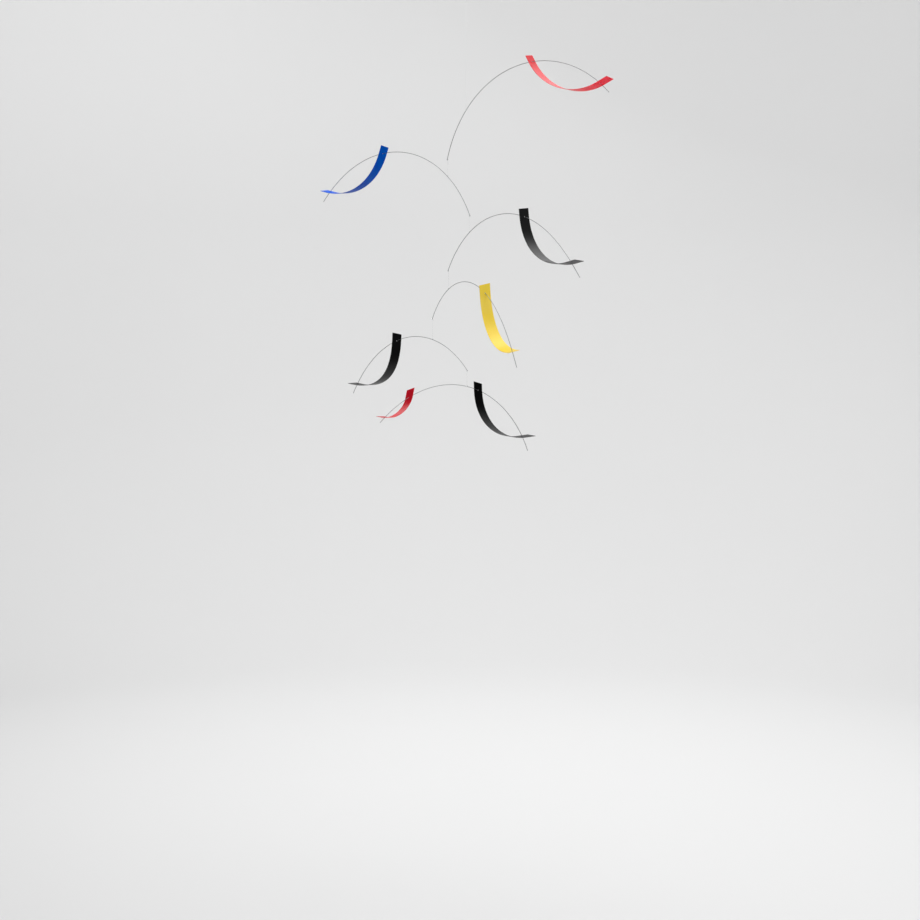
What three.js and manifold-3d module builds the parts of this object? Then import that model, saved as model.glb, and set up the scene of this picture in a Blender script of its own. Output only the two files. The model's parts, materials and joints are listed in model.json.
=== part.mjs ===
// A hanging mobile: six bowed steel wires, each threaded through the two holes of a thin
// curved strip, hung one below the other from their tips on clear nylon threads.
// Millimetres, +Z up, the origin inside the top of the ceiling loop, where a hook bears.

import * as THREE from 'three';
import { mergeVertices } from 'three/addons/utils/BufferGeometryUtils.js';
import Module from 'manifold-3d';

const wasm = await Module();
wasm.setup();

// The main lengths: each arm has its own measure of them
const WIRE_LENGTH = 475;
const THREAD_LENGTH = 32.2;

// Stock that every arm shares
const WIRE_DIAMETER = 1;
const STRIP_WIDTH = 23.5;
const STRIP_THICKNESS = 0.6;
const THREAD_DIAMETER = 0.3;
const KNOT_DIAMETER = 1.2;

// Clearances
const HOLE_CLEARANCE = 0.35;
const THREAD_CLEARANCE = 0.3;

// The loop and the thread that carry the mobile
const CEILING_LOOP_INSIDE = 8;
const CEILING_DROP = 248.6;

// How far from its free end a wire carries the thread of the next arm
const TIP_MARGIN = 1.6;

// The arms from the top down.
// turn: the way the arm points, in degrees about the vertical, 0 along +X
// thread: the drop from the carrier of the arm to the knot on its own wire
// hangs: where the wire's own knot is, as a share of the wire's length from its free tip
// slopes: the slope of the wire at its free tip, at a third, at two thirds and at its end
// Each strip is threaded on the wire at two holes, near and far.
// hole: where the wire passes through it, as a share of the wire's length from its free tip
// slope, lean: how the strip runs there, along the arm and sideways, in degrees
// bow: how far it keeps that slope, as a share of the straight way between the holes
// tab: what stands past the hole
// skew: how far the cut end is out of square, in degrees
const ARMS = [
  {
    turn: -34,
    thread: CEILING_DROP,
    wire: { length: WIRE_LENGTH, hangs: 0.2261, slopes: [75.8, 38.4, -6.1, -46.8] },
    strips: [
      {
        name: 'large_red_strip',
        finish: 'red',
        near: { hole: 0.5989, slope: -60.8, bow: 0.4, tab: 0.62 * STRIP_WIDTH, lean: 14.8, skew: -6.8 },
        far: { hole: 0.9457, slope: 23.7, bow: 0.34, tab: 0.971 * STRIP_WIDTH, lean: -9.8, skew: 6.2 },
      },
    ],
  },
  {
    turn: 140,
    thread: THREAD_LENGTH,
    wire: { length: 1.0295 * WIRE_LENGTH, hangs: 0.208, slopes: [66.5, 26.7, -13.6, -47.9] },
    strips: [
      {
        name: 'blue_strip',
        finish: 'blue',
        near: { hole: 0.5957, slope: -68.2, bow: 0.39, tab: 0.648 * STRIP_WIDTH, lean: 2.5, skew: 5.7 },
        far: { hole: 0.9442, slope: 13.8, bow: 0.4, tab: 0.749 * STRIP_WIDTH, lean: -7.1, skew: 0 },
      },
    ],
  },
  {
    turn: -52,
    thread: 0.966 * THREAD_LENGTH,
    wire: { length: 1.0126 * WIRE_LENGTH, hangs: 0.2154, slopes: [60.7, 15.5, -26.7, -51.9] },
    strips: [
      {
        name: 'upper_black_strip',
        finish: 'black',
        near: { hole: 0.5782, slope: -81.6, bow: 0.38, tab: 0.682 * STRIP_WIDTH, lean: 6.7, skew: 0 },
        far: { hole: 0.9237, slope: 8.8, bow: 0.45, tab: 0.949 * STRIP_WIDTH, lean: -4.9, skew: 0 },
      },
    ],
  },
  {
    turn: -65,
    thread: 1.096 * THREAD_LENGTH,
    wire: { length: WIRE_LENGTH, hangs: 0.2135, slopes: [51.2, 3.9, -36.6, -59.5] },
    strips: [
      {
        name: 'yellow_strip',
        finish: 'yellow',
        near: { hole: 0.5813, slope: -81.9, bow: 0.36, tab: 0.738 * STRIP_WIDTH, lean: 13.8, skew: -1.3 },
        far: { hole: 0.9259, slope: -1.6, bow: 0.43, tab: 0.34 * STRIP_WIDTH, lean: 13.3, skew: 0 },
      },
    ],
  },
  {
    turn: 128,
    thread: 1.27 * THREAD_LENGTH,
    wire: { length: 0.9768 * WIRE_LENGTH, hangs: 0.2905, slopes: [44.6, 8.6, -24.4, -55.2] },
    strips: [
      {
        name: 'middle_black_strip',
        finish: 'black',
        near: { hole: 0.5644, slope: -85.1, bow: 0.48, tab: 0.659 * STRIP_WIDTH, lean: 0.5, skew: 9.3 },
        far: { hole: 0.9455, slope: 6.3, bow: 0.44, tab: 0.851 * STRIP_WIDTH, lean: -2.6, skew: 0 },
      },
    ],
  },
  {
    turn: 43,
    thread: 0.919 * THREAD_LENGTH,
    wire: { length: 1.0032 * WIRE_LENGTH, hangs: 0.5182, slopes: [40.6, 9.2, -27.4, -65.9] },
    strips: [
      {
        name: 'small_red_strip',
        finish: 'red',
        near: { hole: 0.1853, slope: -74.8, bow: 0.35, tab: 0.721 * STRIP_WIDTH, lean: -17, skew: -2.9 },
        far: { hole: 0.0329, slope: 10, bow: 0.33, tab: 0.502 * STRIP_WIDTH, lean: -1.1, skew: 0 },
      },
      {
        name: 'lower_black_strip',
        finish: 'black',
        near: { hole: 0.5855, slope: -87.3, bow: 0.37, tab: 0.656 * STRIP_WIDTH, lean: -2.6, skew: 14 },
        far: { hole: 0.9289, slope: 4.1, bow: 0.47, tab: 1.191 * STRIP_WIDTH, lean: 5.6, skew: 0 },
      },
    ],
  },
];

// Fineness of the faceted surfaces
const WIRE_SIDES = 8;
const WIRE_STEPS = 48;
const STRIP_STEPS = 30;
const HOLE_SIDES = 12;
const THREAD_SIDES = 6;
const RING_STEPS = 8;
const RING_SIDES = 5;
const LOOP_STEPS = 20;
const KNOT_SIDES = 6;
const KNOT_ROWS = 4;

const FINISHES = {
  steel: { color: 0x9a9a9c, roughness: 0.35, metalness: 1 },
  nylon: { color: 0xdfe3e4, roughness: 0.25, metalness: 0 },
  red: { color: 0xc41730, roughness: 0.35, metalness: 0 },
  blue: { color: 0x0a3aa0, roughness: 0.35, metalness: 0 },
  black: { color: 0x131314, roughness: 0.35, metalness: 0 },
  yellow: { color: 0xe2b01f, roughness: 0.35, metalness: 0 },
};

const wireRadius = WIRE_DIAMETER / 2;
const threadRadius = THREAD_DIAMETER / 2;
const knotRadius = KNOT_DIAMETER / 2;
// The turn of thread round a wire, and the knot that sits against it
const ringRadius = wireRadius + THREAD_CLEARANCE + threadRadius;
const knotOffset = wireRadius + THREAD_CLEARANCE + knotRadius;

const radians = THREE.MathUtils.degToRad;
const ACROSS = new THREE.Vector3(0, 1, 0);
const UP = new THREE.Vector3(0, 0, 1);

// Solids, for joining and cutting
function toSolid(geometry) {
  const bare = geometry.clone();
  bare.deleteAttribute('normal');
  bare.deleteAttribute('uv');
  const merged = mergeVertices(bare, 1e-5);
  return new wasm.Manifold(new wasm.Mesh({
    numProp: 3,
    vertProperties: new Float32Array(merged.attributes.position.array),
    triVerts: new Uint32Array(merged.index.array),
  }));
}

function toGeometry(solid) {
  const { vertProperties, triVerts } = solid.getMesh();
  const geometry = new THREE.BufferGeometry();
  geometry.setAttribute('position', new THREE.BufferAttribute(vertProperties, 3));
  geometry.setIndex(new THREE.BufferAttribute(triVerts, 1));
  geometry.computeVertexNormals();
  return geometry;
}

function join(geometries) {
  return toGeometry(geometries.map(toSolid).reduce((whole, next) => whole.add(next)));
}

function cut(geometry, cutters) {
  return toGeometry(cutters.map(toSolid).reduce((whole, next) => whole.subtract(next), toSolid(geometry)));
}

function makeMesh(name, geometry, finish) {
  const mesh = new THREE.Mesh(geometry, new THREE.MeshStandardMaterial(FINISHES[finish]));
  mesh.name = name;
  return mesh;
}

// A cylinder between two points
function rodBetween(start, end, radius, sides) {
  const run = end.clone().sub(start);
  const rod = new THREE.CylinderGeometry(radius, radius, run.length(), sides);
  const turn = new THREE.Quaternion().setFromUnitVectors(ACROSS, run.clone().normalize());
  rod.applyQuaternion(turn);
  const middle = start.clone().add(end).multiplyScalar(0.5);
  return rod.translate(middle.x, middle.y, middle.z);
}

// A place in the plane of an arm: along it and up
function onArm(along, up) {
  return new THREE.Vector3(along, 0, up);
}

function direction(slope) {
  return onArm(Math.cos(radians(slope)), Math.sin(radians(slope)));
}

// The slope of a wire at a share of its length: one smooth cubic through its four stations
function slopeOfWire(slopes, share) {
  const last = slopes.length - 1;
  return slopes.reduce((sum, slope, i) => {
    const others = slopes.map((_, j) => j).filter((j) => j !== i);
    const weight = others.reduce((product, j) => product * (share * last - j) / (i - j), 1);
    return sum + slope * weight;
  }, 0);
}

// The centreline of a wire from its free tip to its end, with the tip at the origin
function wireCurve({ length, slopes }) {
  const points = [onArm(0, 0)];
  const step = length / WIRE_STEPS;
  for (let i = 0; i < WIRE_STEPS; i += 1) {
    const slope = slopeOfWire(slopes, (i + 0.5) / WIRE_STEPS);
    points.push(points[i].clone().addScaledVector(direction(slope), step));
  }
  return new THREE.CatmullRomCurve3(points);
}

// The place and the run of a wire at a share of its length
function stationOnWire(curve, share) {
  return { place: curve.getPointAt(share), run: curve.getTangentAt(share) };
}

function wireGeometry(curve) {
  const section = new THREE.Shape();
  for (let i = 0; i < WIRE_SIDES; i += 1) {
    const angle = 2 * Math.PI * i / WIRE_SIDES;
    const corner = [wireRadius * Math.cos(angle), wireRadius * Math.sin(angle)];
    if (i === 0) section.moveTo(...corner);
    else section.lineTo(...corner);
  }
  section.closePath();
  return new THREE.ExtrudeGeometry(section, { steps: WIRE_STEPS, extrudePath: curve });
}

// The centreline of a strip: straight tabs past both holes and one bow between them
function stripStations(near, far, nearPlace, farPlace) {
  const outward = Math.sign(farPlace.x - nearPlace.x);
  const heading = (slope) => direction(slope).multiply(onArm(outward, 1));
  const chord = nearPlace.distanceTo(farPlace);
  const nearRun = heading(near.slope);
  const farRun = heading(far.slope);
  const bow = new THREE.CubicBezierCurve3(
    nearPlace,
    nearPlace.clone().addScaledVector(nearRun, near.bow * chord),
    farPlace.clone().addScaledVector(farRun, -far.bow * chord),
    farPlace,
  );
  const nearEnd = nearPlace.clone().addScaledVector(nearRun, -near.tab);
  const farEnd = farPlace.clone().addScaledVector(farRun, far.tab);
  const stations = [{ place: nearEnd, run: nearRun, share: 0, skew: -near.skew }];
  for (let i = 0; i <= STRIP_STEPS; i += 1) {
    const share = i / STRIP_STEPS;
    stations.push({ place: bow.getPointAt(share), run: bow.getTangentAt(share), share, skew: 0 });
  }
  stations.push({ place: farEnd, run: farRun, share: 1, skew: far.skew });
  return stations;
}

// A closed body through rings of corners, all in the same order, capped flat at both ends
function skin(rings) {
  const corners = rings[0].length;
  const positions = rings.flat().flatMap((point) => point.toArray());
  const faces = [];
  for (let ring = 0; ring < rings.length - 1; ring += 1) {
    for (let corner = 0; corner < corners; corner += 1) {
      const next = (corner + 1) % corners;
      const [a, b] = [ring * corners + corner, ring * corners + next];
      faces.push(a, b, b + corners, a, b + corners, a + corners);
    }
  }
  const last = (rings.length - 1) * corners;
  for (let corner = 1; corner < corners - 1; corner += 1) {
    faces.push(0, corner + 1, corner);
    faces.push(last, last + corner, last + corner + 1);
  }
  const geometry = new THREE.BufferGeometry();
  geometry.setAttribute('position', new THREE.Float32BufferAttribute(positions, 3));
  geometry.setIndex(faces);
  return geometry;
}

// A strip with its two holes, on the wire that passes through them
function stripGeometry({ near, far }, curve) {
  const nearWire = stationOnWire(curve, near.hole);
  const farWire = stationOnWire(curve, far.hole);
  const stations = stripStations(near, far, nearWire.place, farWire.place);
  const outward = Math.sign(farWire.place.x - nearWire.place.x);
  const rings = stations.map(({ place, run, share, skew }) => {
    const lean = radians(THREE.MathUtils.lerp(near.lean, far.lean, share));
    const across = ACROSS.clone().multiplyScalar(Math.cos(lean)).addScaledVector(UP, Math.sin(lean));
    const side = across.clone().multiplyScalar(outward * STRIP_WIDTH / 2);
    const face = new THREE.Vector3().crossVectors(run, side).setLength(STRIP_THICKNESS / 2);
    side.addScaledVector(run, Math.tan(radians(skew)) * STRIP_WIDTH / 2);
    return [[1, 1], [-1, 1], [-1, -1], [1, -1]].map(([sideways, outside]) => place.clone()
      .addScaledVector(side, sideways)
      .addScaledVector(face, outside));
  });
  const cutters = [nearWire, farWire].map(({ place, run }) => rodBetween(
    place.clone().addScaledVector(run, -STRIP_WIDTH / 2),
    place.clone().addScaledVector(run, STRIP_WIDTH / 2),
    wireRadius + HOLE_CLEARANCE,
    HOLE_SIDES,
  ));
  return cut(skin(rings), cutters);
}

// A turn of thread round a wire, and the knot on the side of the wire that faces the thread
function ringOnWire({ place, run }) {
  const ring = new THREE.TorusGeometry(ringRadius, threadRadius, RING_SIDES, RING_STEPS);
  ring.applyQuaternion(new THREE.Quaternion().setFromUnitVectors(UP, run));
  return ring.translate(place.x, place.y, place.z);
}

function knotAt(place) {
  return new THREE.SphereGeometry(knotRadius, KNOT_SIDES, KNOT_ROWS).translate(place.x, place.y, place.z);
}

// The middle of a knot beside a wire: above it with side 1, below it with side -1
function knotPlace({ place, run }, side) {
  return place.clone().addScaledVector(onArm(-run.z, run.x), side * knotOffset);
}

function threadRun(top, bottom) {
  return rodBetween(top, bottom, threadRadius, THREAD_SIDES);
}

// The loop at the top, whose inside rests on a hook at the origin
const ceilingLoopRadius = CEILING_LOOP_INSIDE / 2 + threadRadius;
const loopMiddle = -CEILING_LOOP_INSIDE / 2;
const loopKnot = onArm(0, loopMiddle - ceilingLoopRadius - knotRadius / 2);

function ceilingLoop() {
  const loop = new THREE.TorusGeometry(ceilingLoopRadius, threadRadius, RING_SIDES, LOOP_STEPS);
  loop.rotateX(Math.PI / 2).translate(0, 0, loopMiddle);
  return join([loop, knotAt(loopKnot)]);
}

// The mobile, put together from the top down
const mobile = new THREE.Group();
mobile.add(makeMesh('ceiling_loop', ceilingLoop(), 'nylon'));

// carrier: where the thread of the arm starts, and the arm whose tip it is tied to
let carrier = { place: onArm(0, 0), threadTop: loopKnot.clone() };

ARMS.forEach(({ turn, thread, wire, strips }, index) => {
  const number = index + 1;
  const curve = wireCurve(wire);
  const hang = stationOnWire(curve, wire.hangs);
  const tip = stationOnWire(curve, TIP_MARGIN / wire.length);
  const ownKnot = knotPlace(hang, 1);

  // The arm turns about its own thread, which passes through the middle of its knot
  const arm = new THREE.Group();
  arm.position.copy(carrier.place).addScaledVector(UP, -thread);
  arm.rotation.z = radians(turn);
  const hung = new THREE.Group();
  hung.position.copy(ownKnot).negate();
  arm.add(hung);
  hung.add(makeMesh(`wire_${number}`, wireGeometry(curve), 'steel'));
  hung.add(makeMesh(`knot_${number}`, join([ringOnWire(hang), knotAt(ownKnot)]), 'nylon'));
  strips.forEach((strip) => {
    hung.add(makeMesh(strip.name, stripGeometry(strip, curve), strip.finish));
  });

  // The thread that carries the arm stops just above its knot
  const threadEnd = arm.position.clone().addScaledVector(UP, knotRadius + THREAD_CLEARANCE);
  if (index === 0) {
    const threadStart = carrier.threadTop.clone().addScaledVector(UP, -knotRadius - THREAD_CLEARANCE);
    mobile.add(makeMesh('ceiling_thread', threadRun(threadStart, threadEnd), 'nylon'));
  } else {
    const tied = join([carrier.ring, knotAt(carrier.place), threadRun(carrier.place, threadEnd)]);
    mobile.add(makeMesh(`thread_${number}`, tied, 'nylon'));
  }
  mobile.add(arm);

  arm.updateMatrixWorld(true);
  const tipKnot = knotPlace(tip, -1);
  carrier = {
    place: tipKnot.clone().applyMatrix4(hung.matrixWorld),
    ring: ringOnWire(tip).applyMatrix4(hung.matrixWorld),
  };
});

export default mobile;
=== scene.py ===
import json
import math

import bpy
from mathutils import Matrix, Vector
from mathutils.geometry import interpolate_bezier


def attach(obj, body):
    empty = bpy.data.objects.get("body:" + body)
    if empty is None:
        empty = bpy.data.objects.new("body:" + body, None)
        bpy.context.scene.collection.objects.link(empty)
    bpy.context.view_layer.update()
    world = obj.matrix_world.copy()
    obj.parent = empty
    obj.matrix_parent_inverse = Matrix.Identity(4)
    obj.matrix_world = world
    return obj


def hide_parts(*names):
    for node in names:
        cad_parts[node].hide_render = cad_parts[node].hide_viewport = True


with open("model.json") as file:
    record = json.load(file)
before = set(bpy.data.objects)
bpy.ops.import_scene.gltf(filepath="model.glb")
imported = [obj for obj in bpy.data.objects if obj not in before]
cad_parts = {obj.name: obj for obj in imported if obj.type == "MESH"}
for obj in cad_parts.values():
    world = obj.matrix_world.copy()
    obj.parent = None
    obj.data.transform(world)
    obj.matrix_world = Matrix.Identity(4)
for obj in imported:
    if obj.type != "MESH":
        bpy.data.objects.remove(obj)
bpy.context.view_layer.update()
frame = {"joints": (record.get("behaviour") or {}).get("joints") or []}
bpy.ops.object.select_all(action="DESELECT")


# The view. The photograph was taken from 3.5 m in front of the mobile, at the height of the
# yellow strip's lower end, with a fairly long lens tipped a few degrees down.
FRAME_PIXELS = 920
FOCAL_PIXELS = 1750
PIXELS_UNDER_HORIZON = 110
SENSOR_WIDTH = 36
VIEWPOINT = (-0.0117, -3.5, -0.7237)

tip_down = math.atan(PIXELS_UNDER_HORIZON / FOCAL_PIXELS)
bpy.ops.object.camera_add(location=VIEWPOINT, rotation=(math.pi / 2 - tip_down, 0, 0))
camera = bpy.context.object
camera.name = "camera"
camera.data.sensor_width = SENSOR_WIDTH
camera.data.lens = SENSOR_WIDTH * FOCAL_PIXELS / FRAME_PIXELS
bpy.context.scene.camera = camera
bpy.context.scene.view_settings.view_transform = "Standard"


# The ceiling thread. Clear nylon monofilament with a knotted loop at its top that hangs on a small
# hook. It runs straight down, held taut by the mobile's weight, to the knot on the uppermost wire.
MM = 0.001
THREAD_RADIUS = 0.15 * MM
WRAP_RADIUS = 0.34 * MM
WRAP_PITCH = 0.31 * MM
WRAPS = 4
LOOP_INSIDE_RADIUS = 4 * MM
THREAD_TOP = Vector((0, 0, -9.35 * MM))
THREAD_FOOT = Vector((0, 0, -247.7 * MM))
THREAD_POINTS = 16
LINE_SIDES = 8
LOOP_STEPS = 48
KNOT_ABOVE_LOOP = 0.9 * MM
LOOP_CLOSED_BELOW = 0.7 * MM
TAIL_START = 0.22 * MM
TAIL_OUT = 0.77 * MM
TAIL_DOWN = 0.44 * MM
STEPS_A_TURN = 12
ROD_SMOOTH_UNDER = 50
NYLON_CLEAR = "F2F5F5"
NYLON_IOR = 1.53

UP = Vector((0, 0, 1))
SIDEWAYS = Vector((1, 0, 0))


def linear(colour):
    """An sRGB hex colour as the linear RGBA that shaders take."""
    parts = [int(colour[i : i + 2], 16) / 255 for i in (0, 2, 4)]
    parts = [c / 12.92 if c <= 0.04045 else ((c + 0.055) / 1.055) ** 2.4 for c in parts]
    return (*parts, 1)


def add_node(tree, kind, settings=None, links=None):
    """Adds a node with its properties and unlinked sockets set, and its inputs linked."""
    node = tree.nodes.new(kind)
    for name, value in (settings or {}).items():
        if isinstance(name, str) and hasattr(node, name):
            setattr(node, name, value)
        else:
            node.inputs[name].default_value = value
    for name, source in (links or {}).items():
        tree.links.new(source, node.inputs[name])
    return node


def new_material(name):
    """An empty node material and its tree."""
    material = bpy.data.materials.new(name)
    material.use_nodes = True
    material.node_tree.nodes.clear()
    return material, material.node_tree


def drawn_nylon():
    """Extruded nylon monofilament. It is water-clear, with a soft gloss and faint waves from being
    drawn, so that it all but vanishes against a pale wall and only glints where it turns."""
    material, tree = new_material("clear drawn nylon")
    place = add_node(tree, "ShaderNodeTexCoord")
    waves = add_node(
        tree,
        "ShaderNodeTexNoise",
        {"Scale": 1 / (2 * MM), "Detail": 2.0},
        {"Vector": place.outputs["Object"]},
    )
    gloss = add_node(
        tree,
        "ShaderNodeMapRange",
        {"From Min": 0.3, "From Max": 0.7, "To Min": 0.08, "To Max": 0.2},
        {"Value": waves.outputs["Fac"]},
    )
    relief = add_node(
        tree,
        "ShaderNodeBump",
        {"Strength": 0.15, "Distance": 0.02 * MM},
        {"Height": waves.outputs["Fac"]},
    )
    shader = add_node(
        tree,
        "ShaderNodeBsdfPrincipled",
        {"Base Color": linear(NYLON_CLEAR), "IOR": NYLON_IOR, "Transmission Weight": 1.0},
        {"Roughness": gloss.outputs["Result"], "Normal": relief.outputs["Normal"]},
    )
    add_node(tree, "ShaderNodeOutputMaterial", None, {"Surface": shader.outputs["BSDF"]})
    return material


def round_line(name, points, radius, sides):
    """A curve along points with a round section. sides is a multiple of four."""
    bpy.ops.curve.primitive_nurbs_path_add(location=(0, 0, 0))
    line = bpy.context.object
    line.name = name
    line.data.splines.clear()
    spline = line.data.splines.new("POLY")
    spline.points.add(len(points) - 1)
    for spot, point in zip(spline.points, points):
        spot.co = (*point, 1)
    line.data.bevel_depth = radius
    line.data.bevel_resolution = sides // 2 - 2
    line.data.use_fill_caps = True
    return line


def round_rod(name, points, radius, sides):
    """The same as a mesh, with smooth sides."""
    rod = round_line(name, points, radius, sides)
    bpy.ops.object.convert(target="MESH")
    bpy.ops.object.shade_smooth_by_angle(angle=math.radians(ROD_SMOOTH_UNDER))
    rod.select_set(False)
    return rod


def turns(middle, axis, start, radius, pitch, count):
    """Points of a thread wound count times round an axis, starting on the side start."""
    across = axis.cross(start)
    points = []
    for i in range(round(count * STEPS_A_TURN) + 1):
        share = i / STEPS_A_TURN
        angle = 2 * math.pi * share
        rise = pitch * (share - count / 2)
        outwards = start * math.cos(angle) + across * math.sin(angle)
        points.append(middle + axis * rise + outwards * radius)
    return points


def barrel_knot(middle):
    """Points of a cut tail and the wraps that it makes, upwards, round the upright thread."""
    wraps = turns(middle, UP, SIDEWAYS, WRAP_RADIUS, WRAP_PITCH, WRAPS)
    tail_end = wraps[0] + SIDEWAYS * TAIL_OUT - UP * TAIL_DOWN
    return [tail_end, wraps[0] + SIDEWAYS * TAIL_START, *wraps]


nylon = drawn_nylon()

knot_middle = THREAD_TOP + UP * KNOT_ABOVE_LOOP
loop_radius = LOOP_INSIDE_RADIUS + THREAD_RADIUS
loop_middle = Vector((0, 0, -LOOP_INSIDE_RADIUS))
loop_points = barrel_knot(knot_middle)
for step in range(1, LOOP_STEPS):
    around = 2 * math.pi * step / LOOP_STEPS - math.pi / 2
    loop_points.append(loop_middle + Vector((math.cos(around), 0, math.sin(around))) * loop_radius)
loop_points.append(knot_middle + UP * WRAP_PITCH)
loop_points.append(knot_middle - UP * LOOP_CLOSED_BELOW)
ceiling_loop = round_rod("ceiling_loop_of_nylon", loop_points, THREAD_RADIUS, LINE_SIDES)
ceiling_loop.data.materials.append(nylon)
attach(ceiling_loop, "ceiling")
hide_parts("ceiling_loop")

route = [THREAD_FOOT.lerp(THREAD_TOP, i / (THREAD_POINTS - 1)) for i in range(THREAD_POINTS)]
ceiling_thread = round_line("ceiling_thread_of_nylon", route, THREAD_RADIUS, LINE_SIDES)
ceiling_thread.select_set(False)
ceiling_thread.data.materials.append(nylon)
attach(ceiling_thread, "ceiling")
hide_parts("ceiling_thread")


# The six wires. Hard-drawn spring steel, 1 mm thick, cut with pliers and bent by hand into one
# bow each. Every wire hangs on the knot of its own thread and carries the next thread at its tip.
WIRE_RADIUS = 0.5 * MM
WIRE_SIDES = 16
WIRE_STEPS = 240
TIP_MARGIN = 1.6 * MM
KNOT_OFFSET = 1.4 * MM
STEEL_LIGHT = "98999C"
STEEL_DARK = "6A6B6E"

# For each arm from the top down: the way it points in degrees about the vertical, the wire's
# length, where its knot is as a share of that length from the tip, and the wire's slope in degrees
# at the tip, at a third, at two thirds and at its end
ARMS = [
    (-34, 475 * MM, 0.2261, (75.8, 38.4, -6.1, -46.8)),
    (140, 489 * MM, 0.208, (66.5, 26.7, -13.6, -47.9)),
    (-52, 481 * MM, 0.2154, (60.7, 15.5, -26.7, -51.9)),
    (-65, 475 * MM, 0.2135, (51.2, 3.9, -36.6, -59.5)),
    (128, 464 * MM, 0.2905, (44.6, 8.6, -24.4, -55.2)),
    (43, 476.5 * MM, 0.5182, (40.6, 9.2, -27.4, -65.9)),
]


def drawn_steel():
    """Hard-drawn spring steel. The die leaves it a dull silver grey with a satin gloss, and
    handling leaves darker and lighter stretches a few millimetres long."""
    material, tree = new_material("drawn spring steel")
    place = add_node(tree, "ShaderNodeTexCoord")
    handling = add_node(
        tree,
        "ShaderNodeTexNoise",
        {"Scale": 1 / (9 * MM), "Detail": 3.0, "Roughness": 0.6},
        {"Vector": place.outputs["Object"]},
    )
    tone = add_node(
        tree,
        "ShaderNodeMix",
        {"data_type": "RGBA", 6: linear(STEEL_DARK), 7: linear(STEEL_LIGHT)},
        {0: handling.outputs["Fac"]},
    )
    scores = add_node(
        tree,
        "ShaderNodeTexNoise",
        {"Scale": 1 / (0.25 * MM), "Detail": 2.0},
        {"Vector": place.outputs["Object"]},
    )
    gloss = add_node(
        tree,
        "ShaderNodeMapRange",
        {"From Min": 0.3, "From Max": 0.7, "To Min": 0.28, "To Max": 0.42},
        {"Value": handling.outputs["Fac"]},
    )
    relief = add_node(
        tree,
        "ShaderNodeBump",
        {"Strength": 0.25, "Distance": 0.01 * MM},
        {"Height": scores.outputs["Fac"]},
    )
    shader = add_node(
        tree,
        "ShaderNodeBsdfPrincipled",
        {"Metallic": 1.0},
        {
            "Base Color": tone.outputs[2],
            "Roughness": gloss.outputs["Result"],
            "Normal": relief.outputs["Normal"],
        },
    )
    add_node(tree, "ShaderNodeOutputMaterial", None, {"Surface": shader.outputs["BSDF"]})
    return material


def slope_at(slopes, share):
    """The slope of a wire at a share of its length: one smooth cubic through its four stations."""
    last = len(slopes) - 1
    total = 0
    for i, slope in enumerate(slopes):
        weight = 1
        for j in range(last + 1):
            if j != i:
                weight *= (share * last - j) / (i - j)
        total += slope * weight
    return total


def heading(slope):
    """The way that a slope in degrees runs in the upright plane of an arm, x outwards and z up."""
    return Vector((math.cos(math.radians(slope)), 0, math.sin(math.radians(slope))))


class BentWire:
    """One arm's wire: its line in the plane of the arm, and the way from there to the mobile."""

    def __init__(self, number):
        turn, self.length, hangs, self.slopes = ARMS[number - 1]
        self.points = [Vector((0, 0, 0))]
        step = self.length / WIRE_STEPS
        for i in range(WIRE_STEPS):
            slope = slope_at(self.slopes, (i + 0.5) / WIRE_STEPS)
            self.points.append(self.points[-1] + heading(slope) * step)
        knot, run = self.station(hangs)
        knot += Vector((-run.z, 0, run.x)) * KNOT_OFFSET
        axis = next(j["pos_m"] for j in frame["joints"] if j["name"] == f"arm_{number}_swivel")
        turned = Matrix.Rotation(math.radians(turn), 4, "Z")
        self.to_mobile = Matrix.Translation(axis) @ turned @ Matrix.Translation(-knot)
        self.hangs = hangs

    def station(self, share):
        """The place and the run of the wire at a share of its length, in the plane of the arm."""
        spot = share * WIRE_STEPS
        before = min(int(spot), WIRE_STEPS - 1)
        place = self.points[before].lerp(self.points[before + 1], spot - before)
        return place, heading(slope_at(self.slopes, share))


steel = drawn_steel()
wires = {}
for number in range(1, len(ARMS) + 1):
    bent = BentWire(number)
    wires[number] = bent
    line = [bent.to_mobile @ point for point in bent.points]
    wire = round_rod(f"wire_{number}_of_spring_steel", line, WIRE_RADIUS, WIRE_SIDES)
    wire.data.materials.append(steel)
    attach(wire, f"arm_{number}")
    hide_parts(f"wire_{number}")


# The large red strip. A band die-cut from thin satin plastic sheet, with a hole punched near each
# end. It is threaded on the wire by both holes, and its own spring holds it there in a bow.
STRIP_WIDTH = 23.5 * MM
STRIP_THICKNESS = 0.6 * MM
HOLE_RADIUS = 1.05 * MM
HOLE_SIDES = 32
CUT_EDGE = 0.08 * MM
CUT_EDGE_FROM = 60
SHEET_SMOOTH_UNDER = 35
BOW_STEPS = 400
MILK_DEPTH = 4 * MM
SATIN = (0.33, 0.41)
STRIP_CELLS = (180, 8)
RED = "C60816"
RED_DEEP = "BE0614"


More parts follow.
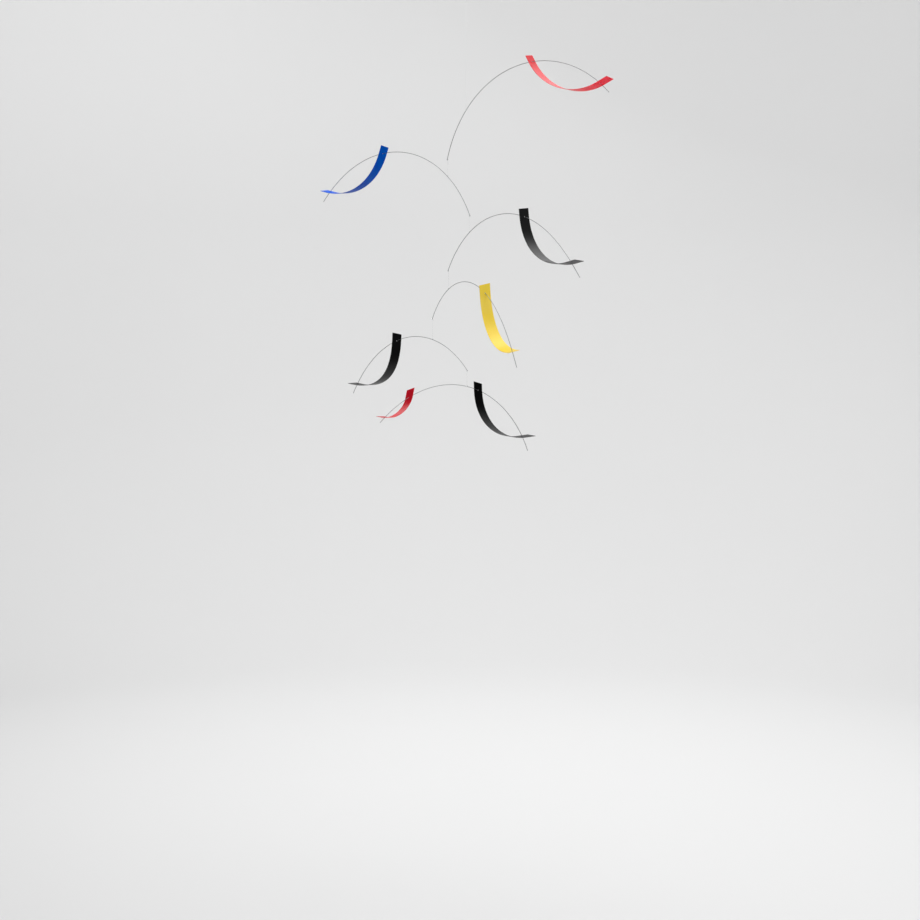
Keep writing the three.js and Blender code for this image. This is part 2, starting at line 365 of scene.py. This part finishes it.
def calendered_sheet(name, colour, deep, milkiness, mirror):
    """Calendered plastic sheet, dyed right through and more or less milky, so that light from
    behind warms it. Its satin skin mirrors the room at low angles, over faint lines along the
    roll."""
    material, tree = new_material(name)
    flat = add_node(tree, "ShaderNodeAttribute", {"attribute_name": "flat_place"})
    clouds = add_node(
        tree,
        "ShaderNodeTexNoise",
        {"Scale": 1 / 22, "Detail": 3.0, "Roughness": 0.55},
        {"Vector": flat.outputs["Vector"]},
    )
    dye = add_node(
        tree,
        "ShaderNodeMix",
        {"data_type": "RGBA", 6: linear(deep), 7: linear(colour)},
        {0: clouds.outputs["Fac"]},
    )
    along_roll = add_node(
        tree,
        "ShaderNodeMapping",
        {"Scale": (1 / 30, 1 / 1.2, 1)},
        {"Vector": flat.outputs["Vector"]},
    )
    roll_lines = add_node(
        tree,
        "ShaderNodeTexNoise",
        {"Scale": 1.0, "Detail": 4.0, "Roughness": 0.6},
        {"Vector": along_roll.outputs["Vector"]},
    )
    gloss = add_node(
        tree,
        "ShaderNodeMapRange",
        {"From Min": 0.3, "From Max": 0.7, "To Min": SATIN[0], "To Max": SATIN[1]},
        {"Value": roll_lines.outputs["Fac"]},
    )
    grain = add_node(
        tree,
        "ShaderNodeTexNoise",
        {"Scale": 1 / 0.8, "Detail": 2.0},
        {"Vector": flat.outputs["Vector"]},
    )
    lined = add_node(
        tree,
        "ShaderNodeBump",
        {"Strength": 0.2, "Distance": 0.03 * MM},
        {"Height": roll_lines.outputs["Fac"]},
    )
    grained = add_node(
        tree,
        "ShaderNodeBump",
        {"Strength": 0.2, "Distance": 0.02 * MM},
        {"Height": grain.outputs["Fac"], "Normal": lined.outputs["Normal"]},
    )
    shader = add_node(
        tree,
        "ShaderNodeBsdfPrincipled",
        {
            "Specular IOR Level": mirror,
            "Subsurface Weight": milkiness,
            "Subsurface Radius": (1, 1, 1),
            "Subsurface Scale": MILK_DEPTH,
        },
        {
            "Base Color": dye.outputs[2],
            "Roughness": gloss.outputs["Result"],
            "Normal": grained.outputs["Normal"],
        },
    )
    add_node(tree, "ShaderNodeOutputMaterial", None, {"Surface": shader.outputs["BSDF"]})
    return material


def flat_strip(name, length, holes):
    """A band of sheet lying flat along x from 0 to length, with its holes punched and its cut edges
    just eased."""
    along, across = STRIP_CELLS
    bpy.ops.mesh.primitive_grid_add(x_subdivisions=along, y_subdivisions=across, size=1)
    band = bpy.context.object
    band.name = name
    bpy.ops.transform.resize(value=(length, STRIP_WIDTH, 1))
    bpy.ops.transform.translate(value=(length / 2, 0, 0))
    bpy.ops.object.transform_apply(location=True, rotation=True, scale=True)
    sheet = band.modifiers.new("sheet", "SOLIDIFY")
    sheet.thickness = STRIP_THICKNESS
    sheet.offset = 0
    bpy.ops.object.modifier_apply(modifier=sheet.name)
    for hole in holes:
        bpy.ops.mesh.primitive_cylinder_add(
            vertices=HOLE_SIDES,
            radius=HOLE_RADIUS,
            depth=10 * STRIP_THICKNESS,
            location=(hole, 0, 0),
        )
        punch = bpy.context.object
        bpy.context.view_layer.objects.active = band
        punched = band.modifiers.new("punched", "BOOLEAN")
        punched.operation = "DIFFERENCE"
        punched.solver = "EXACT"
        punched.object = punch
        bpy.ops.object.modifier_apply(modifier=punched.name)
        bpy.data.objects.remove(punch)
    eased = band.modifiers.new("eased", "BEVEL")
    eased.width = CUT_EDGE
    eased.segments = 2
    eased.limit_method = "ANGLE"
    eased.angle_limit = math.radians(CUT_EDGE_FROM)
    bpy.ops.object.modifier_apply(modifier=eased.name)
    return band


class Bow:
    """The line of a strip in the plane of its arm: a straight tab past each hole and one smooth
    bow between them. Each end gives hole, slope, bow, tab, lean and skew, as on the solid."""

    def __init__(self, bent, near, far):
        self.near_tab, self.far_tab = near[3], far[3]
        self.leans = (near[4], far[4])
        self.skews = (near[5], far[5])
        near_place, far_place = bent.station(near[0])[0], bent.station(far[0])[0]
        self.outward = 1 if far_place.x > near_place.x else -1
        near_run, far_run = heading(near[1]), heading(far[1])
        near_run.x *= self.outward
        far_run.x *= self.outward
        chord = (far_place - near_place).length
        handles = (near_place + near_run * near[2] * chord, far_place - far_run * far[2] * chord)
        self.line = interpolate_bezier(near_place, *handles, far_place, BOW_STEPS)
        self.reach = [0]
        for a, b in zip(self.line, self.line[1:]):
            self.reach.append(self.reach[-1] + (b - a).length)
        self.bow_length = self.reach[-1]
        self.ends = ((near_place, near_run), (far_place, far_run))
        self.length = self.near_tab + self.bow_length + self.far_tab

    def station(self, distance, sideways):
        """The place, the run and the sideways lean at a distance from the strip's near end. The
        strip is stretched past its holes towards the skewed ends."""
        past = distance - self.near_tab
        if past < 0:
            past *= 1 + sideways * math.tan(math.radians(self.skews[0])) / self.near_tab
        if past > self.bow_length:
            stretch = 1 + sideways * math.tan(math.radians(self.skews[1])) / self.far_tab
            past = self.bow_length + (past - self.bow_length) * stretch
        if past <= 0:
            place, run = self.ends[0]
            return place + run * past, run, self.leans[0]
        if past >= self.bow_length:
            place, run = self.ends[1]
            return place + run * (past - self.bow_length), run, self.leans[1]
        low, high = 0, len(self.reach) - 1
        while high - low > 1:
            middle = (low + high) // 2
            if self.reach[middle] <= past:
                low = middle
            else:
                high = middle
        share = (past - self.reach[low]) / (self.reach[high] - self.reach[low])
        runs = []
        for spot in (low, high):
            before, after = max(spot - 1, 0), min(spot + 1, len(self.line) - 1)
            runs.append((self.line[after] - self.line[before]).normalized())
        place = self.line[low].lerp(self.line[high], share)
        lean = self.leans[0] + (self.leans[1] - self.leans[0]) * past / self.bow_length
        return place, runs[0].lerp(runs[1], share).normalized(), lean


def bowed_strip(name, arm, material, near, far):
    """The flat band sprung into its bow on the wire of an arm."""
    bent = wires[arm]
    bow = Bow(bent, near, far)
    band = flat_strip(name, bow.length, (bow.near_tab, bow.near_tab + bow.bow_length))
    flat_place = band.data.attributes.new("flat_place", "FLOAT_VECTOR", "POINT")
    for vertex, mark in zip(band.data.vertices, flat_place.data):
        mark.vector = vertex.co / MM
        place, run, lean = bow.station(vertex.co.x, vertex.co.y)
        tilt = math.radians(lean)
        across = Vector((0, math.cos(tilt), math.sin(tilt))) * bow.outward
        face = run.cross(across).normalized()
        vertex.co = bent.to_mobile @ (place + across * vertex.co.y + face * vertex.co.z)
    bpy.ops.object.shade_smooth_by_angle(angle=math.radians(SHEET_SMOOTH_UNDER))
    band.select_set(False)
    band.data.materials.append(material)
    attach(band, f"arm_{arm}")
    return band


red_sheet = calendered_sheet("red satin plastic sheet", RED, RED_DEEP, 0.9, 0.2)
large_red = bowed_strip(
    "large_red_strip_of_sheet",
    1,
    red_sheet,
    near=(0.5989, -60.8, 0.4, 14.57 * MM, 14.8, -6.8),
    far=(0.9457, 23.7, 0.34, 22.82 * MM, -9.8, 6.2),
)
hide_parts("large_red_strip")


# The blue strip. The same band in blue sheet, on the second wire.
# It points away to the left, so that its convex side faces the room.
BLUE = "024EC2"
BLUE_DEEP = "024AB8"

blue_sheet = calendered_sheet("blue satin plastic sheet", BLUE, BLUE_DEEP, 0.15, 0.04)
blue = bowed_strip(
    "blue_strip_of_sheet",
    2,
    blue_sheet,
    near=(0.5957, -68.2, 0.39, 15.23 * MM, 2.5, 5.7),
    far=(0.9442, 13.8, 0.4, 17.6 * MM, -7.1, 0),
)
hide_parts("blue_strip")


# The upper black strip. The same band in black sheet, on the third wire.
# It comes towards the room on the right.
BLACK = "0D0D0E"
BLACK_DEEP = "0A0A0B"

black_sheet = calendered_sheet("black satin plastic sheet", BLACK, BLACK_DEEP, 0.0, 0.18)
upper_black = bowed_strip(
    "upper_black_strip_of_sheet",
    3,
    black_sheet,
    near=(0.5782, -81.6, 0.38, 16.03 * MM, 6.7, 0),
    far=(0.9237, 8.8, 0.45, 22.3 * MM, -4.9, 0),
)
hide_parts("upper_black_strip")


# The yellow strip. The same band in yellow sheet, on the fourth wire.
# It comes nearly straight towards the room, so that most of its inner side shows.
YELLOW = "F0C40C"
YELLOW_DEEP = "EABC08"

yellow_sheet = calendered_sheet("yellow satin plastic sheet", YELLOW, YELLOW_DEEP, 0.5, 0.6)
yellow = bowed_strip(
    "yellow_strip_of_sheet",
    4,
    yellow_sheet,
    near=(0.5813, -81.9, 0.36, 17.34 * MM, 13.8, -1.3),
    far=(0.9259, -1.6, 0.43, 7.99 * MM, 13.3, 0),
)
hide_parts("yellow_strip")


# The middle black strip. The same black band, on the fifth wire, which points away to the left
# as the blue one does.
middle_black = bowed_strip(
    "middle_black_strip_of_sheet",
    5,
    black_sheet,
    near=(0.5644, -85.1, 0.48, 15.49 * MM, 0.5, 9.3),
    far=(0.9455, 6.3, 0.44, 20 * MM, -2.6, 0),
)
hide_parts("middle_black_strip")


# The small red strip and the lower black strip. Both are on the sixth wire, one at each side of
# its knot, and the small one is cut shorter from the same red sheet.
small_red = bowed_strip(
    "small_red_strip_of_sheet",
    6,
    red_sheet,
    near=(0.1853, -74.8, 0.35, 16.94 * MM, -17, -2.9),
    far=(0.0329, 10, 0.33, 11.8 * MM, -1.1, 0),
)
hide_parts("small_red_strip")

lower_black = bowed_strip(
    "lower_black_strip_of_sheet",
    6,
    black_sheet,
    near=(0.5855, -87.3, 0.37, 15.42 * MM, -2.6, 14),
    far=(0.9289, 4.1, 0.47, 27.99 * MM, 5.6, 0),
)
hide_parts("lower_black_strip")


# The threads between the wires and their knots. Each thread is wound three times round the tip of
# one wire, tied on itself in a barrel knot, and runs down to the same kind of knot on the next.
WIRE_WRAPS = 3
WIRE_WRAP_RADIUS = WIRE_RADIUS + THREAD_RADIUS + 0.02 * MM
WIRE_WRAP_PITCH = 2.1 * THREAD_RADIUS
THREAD_LEAVES_BELOW = 1 * MM
THREAD_END_GAP = 0.9 * MM


def tied_on(bent, share, side):
    """The points of the thread round a wire where it is tied on, and the middle of its barrel knot,
    above the wire with side 1 and below it with side -1."""
    place, run = bent.station(share)
    normal = Vector((-run.z, 0, run.x)) * side
    turned = bent.to_mobile.to_3x3()
    round_wire = turns(
        bent.to_mobile @ place,
        turned @ run,
        turned @ normal,
        WIRE_WRAP_RADIUS,
        WIRE_WRAP_PITCH,
        WIRE_WRAPS,
    )
    return round_wire, bent.to_mobile @ (place + normal * KNOT_OFFSET)


for number, bent in wires.items():
    round_wire, middle = tied_on(bent, bent.hangs, 1)
    path = round_wire + barrel_knot(middle)[:1:-1]
    knot = round_rod(f"knot_{number}_of_nylon", path, THREAD_RADIUS, LINE_SIDES)
    knot.data.materials.append(nylon)
    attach(knot, f"arm_{number}")
    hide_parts(f"knot_{number}")

    if number < len(wires):
        round_wire, middle = tied_on(bent, TIP_MARGIN / bent.length, -1)
        leaves = middle - UP * THREAD_LEAVES_BELOW
        foot = next(j["pos_m"] for j in frame["joints"] if j["name"] == f"arm_{number + 1}_swivel")
        foot = Vector(foot) + UP * THREAD_END_GAP
        path = barrel_knot(middle) + round_wire + [middle + UP * WRAP_PITCH, leaves, foot]
        thread = round_rod(f"thread_{number + 1}_of_nylon", path, THREAD_RADIUS, LINE_SIDES)
        thread.data.materials.append(nylon)
        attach(thread, f"arm_{number}")
        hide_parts(f"thread_{number + 1}")


# The room. A seamless pale floor that curves up into a pale wall all round, under a wide softbox
# that gives nearly all the light. Only the floor and wall behind the mobile show in its gloss.
FLOOR_HEIGHT = -1.85
FLOOR_RADIUS = 2.6
COVE_RADIUS = 1.7
COVE_STEPS = 16
WALL_TOP = 2.4
WALL_SIDES = 256
WALL_SMOOTH_UNDER = 60
PALE = "E6E6E6"
PALE_DEEP = "E1E1E1"
FLOOR_GREY = "D8D8D8"
PALE_FROM = -0.3
VIEW_SPREAD = 0.28


def painted_room():
    """Matt emulsion, rolled on. It gives an even pale grey with barely any clouds, a little greyer
    towards the floor."""
    material, tree = new_material("matt emulsion paint")
    place = add_node(tree, "ShaderNodeTexCoord")
    clouds = add_node(
        tree,
        "ShaderNodeTexNoise",
        {"Scale": 0.7, "Detail": 1.0},
        {"Vector": place.outputs["Object"]},
    )
    pale = add_node(
        tree,
        "ShaderNodeMix",
        {"data_type": "RGBA", 6: linear(PALE_DEEP), 7: linear(PALE)},
        {0: clouds.outputs["Fac"]},
    )
    apart = add_node(tree, "ShaderNodeSeparateXYZ", None, {"Vector": place.outputs["Object"]})
    up = add_node(
        tree,
        "ShaderNodeMapRange",
        {"From Min": FLOOR_HEIGHT, "From Max": PALE_FROM},
        {"Value": apart.outputs["Z"]},
    )
    graded = add_node(
        tree,
        "ShaderNodeMix",
        {"data_type": "RGBA", 6: linear(FLOOR_GREY)},
        {0: up.outputs["Result"], 7: pale.outputs[2]},
    )
    shader = add_node(
        tree,
        "ShaderNodeBsdfPrincipled",
        {"Roughness": 0.9, "Specular IOR Level": 0.1},
        {"Base Color": graded.outputs[2]},
    )
    add_node(tree, "ShaderNodeOutputMaterial", None, {"Surface": shader.outputs["BSDF"]})
    return material


bpy.ops.mesh.primitive_circle_add(
    vertices=WALL_SIDES, radius=FLOOR_RADIUS, fill_type="NGON", location=(0, 0, FLOOR_HEIGHT)
)
room = bpy.context.object
room.name = "pale_floor_and_wall"
bpy.ops.object.transform_apply(location=True, rotation=True, scale=True)
bpy.ops.object.mode_set(mode="EDIT")
bpy.ops.mesh.select_all(action="SELECT")
bpy.ops.mesh.region_to_loop()
radius = FLOOR_RADIUS
for step in range(COVE_STEPS):
    below = math.pi / 2 * step / COVE_STEPS
    above = math.pi / 2 * (step + 1) / COVE_STEPS
    wider = FLOOR_RADIUS + COVE_RADIUS * math.sin(above)
    rise = COVE_RADIUS * (math.cos(below) - math.cos(above))
    bpy.ops.mesh.extrude_region_move(TRANSFORM_OT_translate={"value": (0, 0, rise)})
    bpy.ops.transform.resize(value=(wider / radius, wider / radius, 1), center_override=(0, 0, 0))
    radius = wider
bpy.ops.mesh.extrude_region_move(
    TRANSFORM_OT_translate={"value": (0, 0, WALL_TOP - FLOOR_HEIGHT - COVE_RADIUS)}
)

# The room is cut along both sides of the view. The part beside them is seen by the camera alone,
# so that the strips mirror dark surroundings there, as the real ones do.
bpy.ops.mesh.select_mode(type="FACE")
for side in (-1, 1):
    bpy.ops.mesh.select_all(action="SELECT")
    bpy.ops.mesh.bisect(plane_co=VIEWPOINT, plane_no=(side, -VIEW_SPREAD, 0))
bpy.ops.mesh.select_all(action="DESELECT")
bpy.ops.object.mode_set(mode="OBJECT")
for face in room.data.polygons:
    aside, ahead = abs(face.center.x - VIEWPOINT[0]), face.center.y - VIEWPOINT[1]
    face.select = aside > ahead * VIEW_SPREAD
bpy.ops.object.mode_set(mode="EDIT")
bpy.ops.mesh.separate(type="SELECTED")
bpy.ops.object.mode_set(mode="OBJECT")
surround = next(piece for piece in bpy.context.selected_objects if piece != room)
surround.name = "pale_surround"
surround.visible_diffuse = False
surround.visible_glossy = False
bpy.ops.object.shade_smooth_by_angle(angle=math.radians(WALL_SMOOTH_UNDER))
paint = painted_room()
for piece in (room, surround):
    piece.data.materials.append(paint)
    piece.select_set(False)


def soft_light(name, place, target, size, power):
    """A large square softbox that faces a point."""
    bpy.ops.object.light_add(type="AREA", location=place)
    light = bpy.context.object
    light.name = name
    light.rotation_euler = (Vector(target) - Vector(place)).to_track_quat("-Z", "Y").to_euler()
    light.data.shape = "SQUARE"
    light.data.size = size
    light.data.energy = power
    light.visible_camera = False
    light.select_set(False)
    return light


soft_light("overhead_softbox", (0.7, 0.3, 2.2), (0.7, 0.3, -1), 3.6, 108)
soft_light("front_softbox", (1.5, -3.2, 1.1), (0, 0, -0.6), 1.6, 78)
soft_light("back_softbox", (1.6, 2.4, 1.7), (0, 0, -0.6), 2.4, 34)
soft_light("right_softbox", (3.2, -0.4, 0.5), (0, 0, -0.6), 1.4, 4)
soft_light("left_softbox", (-1.6, 2.6, 0.9), (0, 0, -0.6), 1.4, 8)
backdrop_light = soft_light("backdrop_softbox", (-0.55, 1.0, 2.2), (-0.55, 3.6, -1.1), 1.8, 73)
backdrop_light.visible_glossy = False

world = bpy.data.worlds.new("dim_studio")
bpy.context.scene.world = world
world.use_nodes = True
world.node_tree.nodes["Background"].inputs["Color"].default_value = linear("F4F5F6")
world.node_tree.nodes["Background"].inputs["Strength"].default_value = 0.06
